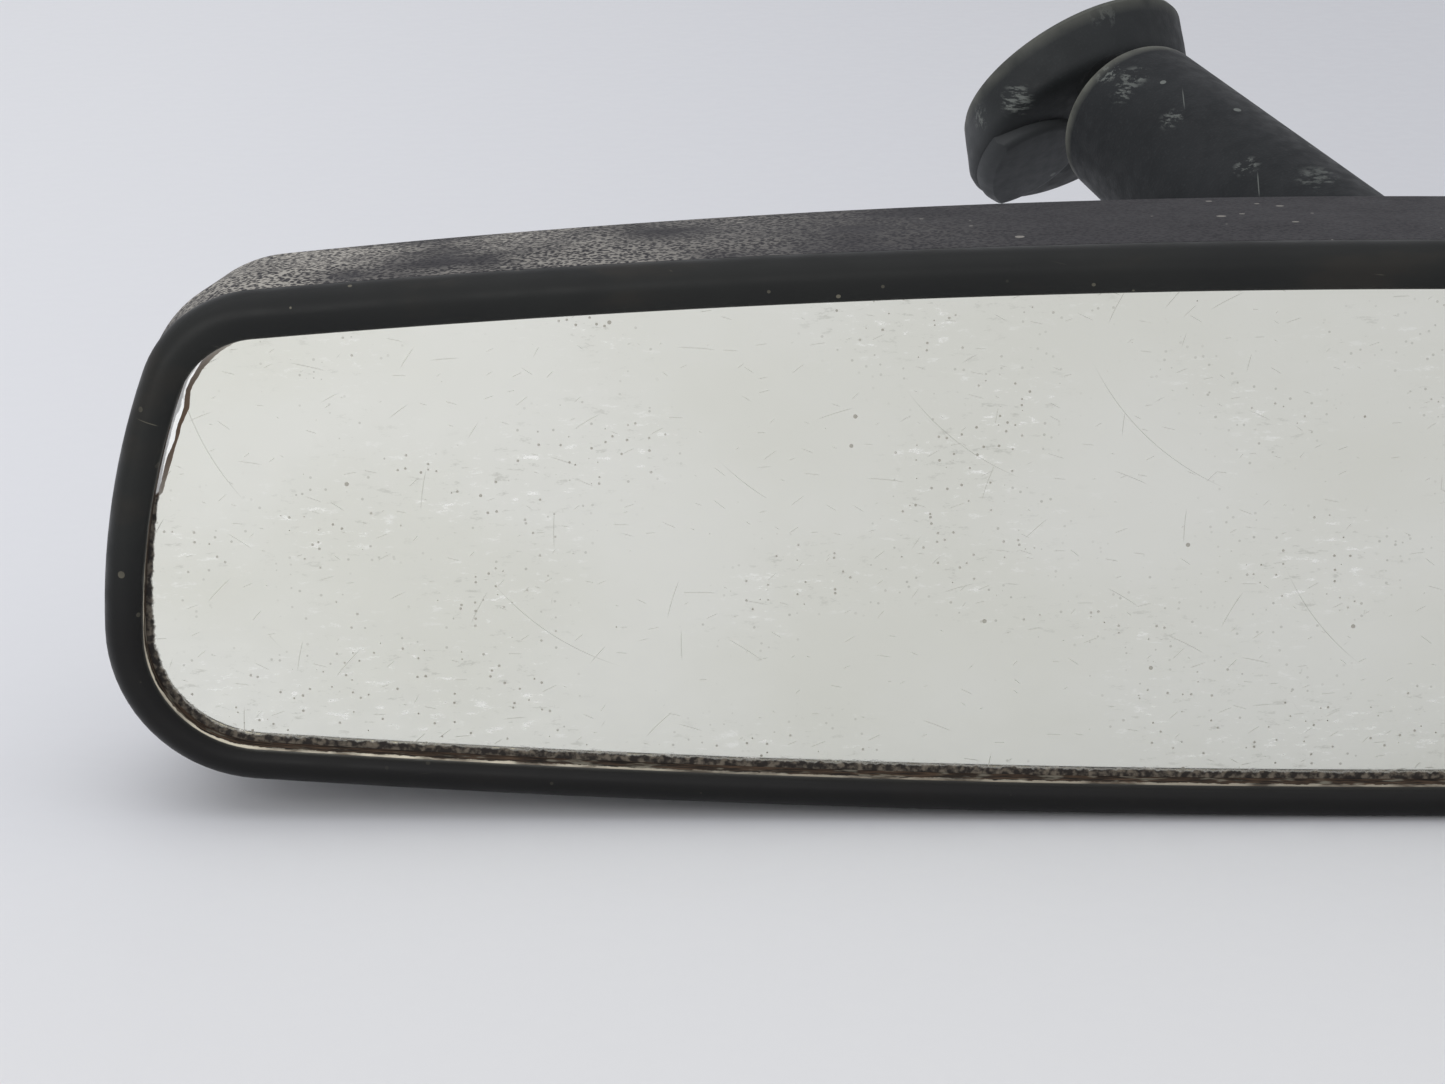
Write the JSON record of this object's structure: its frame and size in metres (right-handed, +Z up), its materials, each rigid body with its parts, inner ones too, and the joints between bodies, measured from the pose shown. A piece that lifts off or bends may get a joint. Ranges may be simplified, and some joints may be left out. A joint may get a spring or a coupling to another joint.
{
  "type": "interior rearview mirror",
  "caption": "Wide prismatic interior rearview mirror on a short double-ball arm with a round windscreen foot and a day/night lever.",
  "frame": {"origin": "centre of the foot's flat bonding face, on the face of the bonding pad", "axes": "+X to the right along the mirror as the driver sees it, +Y forward to the windscreen, +Z up; the glass faces -Y"},
  "size_m": [0.253, 0.0967, 0.0669],
  "materials": {
    "bezel": "smooth, semi-gloss near-black",
    "housing": "fine-grained dark grey",
    "arm_plastic": "satin slate grey",
    "inner_plastic": "moulded black",
    "mirror_glass": "silvered second-surface glass",
    "foam": "closed-cell foam",
    "steel": "zinc-plated",
    "zinc": "die-cast",
    "nylon": "natural nylon",
    "bonding_pad": "soft adhesive pad"
  },
  "bodies": {
    "foot": {"bonding_pad": "bonding_pad", "foot_plate": "steel", "foot_core": "zinc", "foot_shell": "arm_plastic", "foot_ball_stud": "steel", "foot_screw_1": "steel", "foot_screw_2": "steel"},
    "foot_cup": {"foot_ball_cup": "nylon"},
    "arm": {"arm_tube": "arm_plastic", "arm_spring": "steel"},
    "head_cup": {"head_ball_cup": "nylon"},
    "ball": {"head_ball": "steel"},
    "carrier": {"toggle_carrier": "inner_plastic", "head_ball_stud": "steel", "stud_washer": "steel", "stud_nut": "steel"},
    "head": {"rear_housing": "housing", "bezel": "bezel", "mirror_glass": "mirror_glass", "glass_foam": "foam", "backing_plate": "inner_plastic", "toggle_pin": "steel", "lever_pin": "steel", "detent_spring": "steel", "detent_screw_left": "steel", "detent_screw_right": "steel"},
    "lever": {"day_night_lever": "inner_plastic"}
  },
  "joints": [
    {"name": "foot_pan", "type": "hinge", "parent": "foot", "child": "foot_cup", "pos_m": [0.00784, -0.01629, -0.00419], "axis": [0, 0, 1], "range_deg": [-16, 16]},
    {"name": "foot_tilt", "type": "hinge", "parent": "foot_cup", "child": "arm", "pos_m": [0.00784, -0.01629, -0.00419], "axis": [0.887, 0.4617, 0], "range_deg": [-12, 12]},
    {"name": "head_tilt", "type": "hinge", "parent": "arm", "child": "head_cup", "pos_m": [0.02852, -0.05602, -0.0167], "axis": [1, 0, 0], "range_deg": [-5, 14]},
    {"name": "head_pan", "type": "hinge", "parent": "head_cup", "child": "ball", "pos_m": [0.02852, -0.05602, -0.0167], "axis": [0, 0, 1], "range_deg": [-3, 57]},
    {"name": "head_roll", "type": "hinge", "parent": "ball", "child": "carrier", "pos_m": [0.02852, -0.05602, -0.0167], "axis": [0, 1, 0], "range_deg": [-8, 8]},
    {"name": "day_night", "type": "hinge", "parent": "carrier", "child": "head", "pos_m": [0.02852, -0.07202, -0.0077], "axis": [1, 0, 0], "range_deg": [-4.5, 0]},
    {"name": "lever_flip", "type": "hinge", "parent": "head", "child": "lever", "pos_m": [0.02852, -0.06502, -0.0487], "axis": [1, 0, 0], "range_deg": [-60, 0]}
  ],
  "couplings": [
    {"joint": "lever_flip", "follows": "day_night", "ratio": 13.333}
  ]
}
